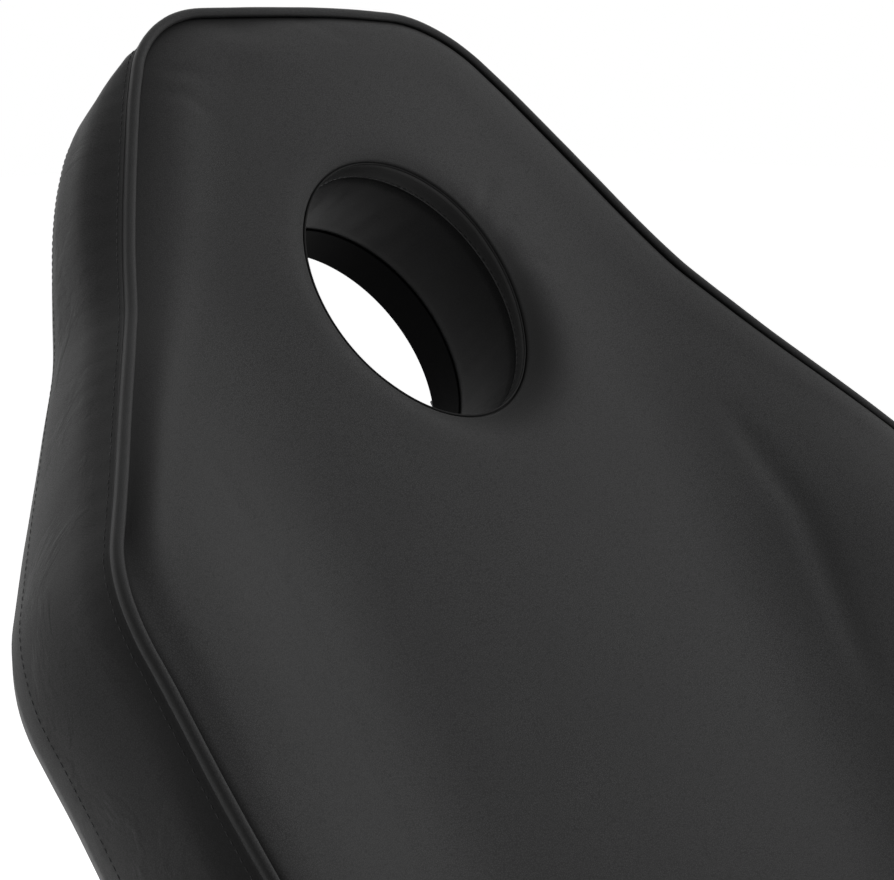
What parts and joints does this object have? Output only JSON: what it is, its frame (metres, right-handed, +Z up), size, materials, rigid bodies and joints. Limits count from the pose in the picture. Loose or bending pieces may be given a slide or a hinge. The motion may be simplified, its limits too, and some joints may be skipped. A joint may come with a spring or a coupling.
{
  "type": "beauty chair",
  "caption": "Reclining beauty chair with a padded, winged backrest with a face hole, tilting leg rest, flip-up armrests and a pumped swivel pedestal.",
  "frame": {"origin": "on the floor, under the rubber mat, at the swivel axis", "axes": "+Z up, the chair faces -Y, +X to the sitter's left as they face -Y"},
  "size_m": [0.8014, 1.4212, 1.1727],
  "materials": {
    "black_leatherette": "satin",
    "black_welt": "satin",
    "cushion_foam": "matte",
    "plywood": "matte",
    "black_back_cloth": "matte",
    "black_frame_paint": "satin",
    "chromed_steel": "polished",
    "bright_steel": "satin",
    "zinc_fasteners": "satin",
    "base_rubber": "matte",
    "tread_rubber": "matte",
    "black_knob_plastic": "gloss"
  },
  "bodies": {
    "base": {"base_mat": "base_rubber", "base_plate": "chromed_steel", "pump_cylinder": "black_frame_paint", "pump_gland": "chromed_steel", "base_bolts": "zinc_fasteners", "pedal_bracket": "black_frame_paint", "pedal_pin": "bright_steel"},
    "pedal": {"pedal_arm": "chromed_steel", "pedal_tread": "tread_rubber"},
    "plunger": {"pump_plunger": "bright_steel"},
    "ram": {"lift_ram": "chromed_steel"},
    "seat": {"swivel_socket": "black_frame_paint", "mounting_bolts": "zinc_fasteners", "seat_cross_members": "black_frame_paint", "side_plate_left": "black_frame_paint", "side_plate_right": "black_frame_paint", "seat_board": "plywood", "seat_screws": "zinc_fasteners", "seat_foam": "cushion_foam", "seat_cover": "black_leatherette", "seat_piping": "black_welt", "armrest_posts": "black_frame_paint", "pivot_bolts": "zinc_fasteners", "pivot_nuts": "zinc_fasteners", "pivot_washers": "zinc_fasteners", "clamp_studs": "zinc_fasteners", "armrest_pivot_bolts": "zinc_fasteners"},
    "swivel_lock": {"swivel_lock_lever": "chromed_steel", "swivel_lock_knob": "black_knob_plastic"},
    "backrest": {"backrest_arm_left": "black_frame_paint", "backrest_arm_right": "black_frame_paint", "backrest_back_cloth": "black_back_cloth", "backrest_board": "plywood", "backrest_cover": "black_leatherette", "backrest_cross_tubes": "black_frame_paint", "backrest_foam": "cushion_foam", "backrest_piping": "black_welt", "backrest_rails": "black_frame_paint", "backrest_screws": "zinc_fasteners", "face_hole_lining": "black_leatherette"},
    "legrest": {"legrest_arm_left": "black_frame_paint", "legrest_arm_right": "black_frame_paint", "legrest_board": "plywood", "legrest_cover": "black_leatherette", "legrest_cross_tubes": "black_frame_paint", "legrest_foam": "cushion_foam", "legrest_piping": "black_welt", "legrest_rails": "black_frame_paint", "legrest_screws": "zinc_fasteners"},
    "armrest_left": {"armrest_bar_left": "black_frame_paint", "armrest_foam_left": "cushion_foam", "armrest_cover_left": "black_leatherette"},
    "armrest_right": {"armrest_bar_right": "black_frame_paint", "armrest_foam_right": "cushion_foam", "armrest_cover_right": "black_leatherette"},
    "back_clamp": {"back_clamp_lever": "chromed_steel", "back_clamp_knob": "black_knob_plastic"},
    "leg_clamp": {"leg_clamp_lever": "chromed_steel", "leg_clamp_knob": "black_knob_plastic"}
  },
  "joints": [
    {"name": "pedal_press", "type": "hinge", "parent": "base", "child": "pedal", "pos_m": [0, 0.135, 0.052], "axis": [-1, 0, 0], "range_deg": [0, 12], "stiffness_Nm_per_rad": 12, "springref_deg": -14.32},
    {"name": "plunger_stroke", "type": "slide", "parent": "base", "child": "plunger", "axis": [0, 0, 1], "range_m": [0, 0.0096]},
    {"name": "ram_lift", "type": "slide", "parent": "base", "child": "ram", "axis": [0, 0, 1], "range_m": [0, 0.16]},
    {"name": "seat_swivel", "type": "hinge", "parent": "ram", "child": "seat", "pos_m": [0, 0, 0.33], "axis": [0, 0, 1], "continuous": true},
    {"name": "swivel_lock_turn", "type": "hinge", "parent": "seat", "child": "swivel_lock", "pos_m": [0.06, 0, 0.33273], "axis": [1, 0, 0], "range_deg": [0, 45]},
    {"name": "backrest_recline", "type": "hinge", "parent": "seat", "child": "backrest", "pos_m": [0, 0.292, 0.496], "axis": [1, 0, 0], "range_deg": [-55.4, 12.6]},
    {"name": "legrest_tilt", "type": "hinge", "parent": "seat", "child": "legrest", "pos_m": [0, -0.28, 0.47], "axis": [1, 0, 0], "range_deg": [-45, 10]},
    {"name": "armrest_left_flip", "type": "hinge", "parent": "seat", "child": "armrest_left", "pos_m": [-0.299, 0.19, 0.65], "axis": [-1, 0, 0], "range_deg": [0, 95]},
    {"name": "armrest_right_flip", "type": "hinge", "parent": "seat", "child": "armrest_right", "pos_m": [0.299, 0.19, 0.65], "axis": [-1, 0, 0], "range_deg": [0, 95]},
    {"name": "back_clamp_turn", "type": "hinge", "parent": "seat", "child": "back_clamp", "pos_m": [0.298, 0.24701, 0.44238], "axis": [1, 0, 0], "range_deg": [0, 60]},
    {"name": "leg_clamp_turn", "type": "hinge", "parent": "seat", "child": "leg_clamp", "pos_m": [0.298, -0.22638, 0.42501], "axis": [-1, 0, 0], "range_deg": [0, 60]}
  ],
  "couplings": [
    {"joint": "plunger_stroke", "follows": "pedal_press", "m_per_rad": 0.043}
  ]
}
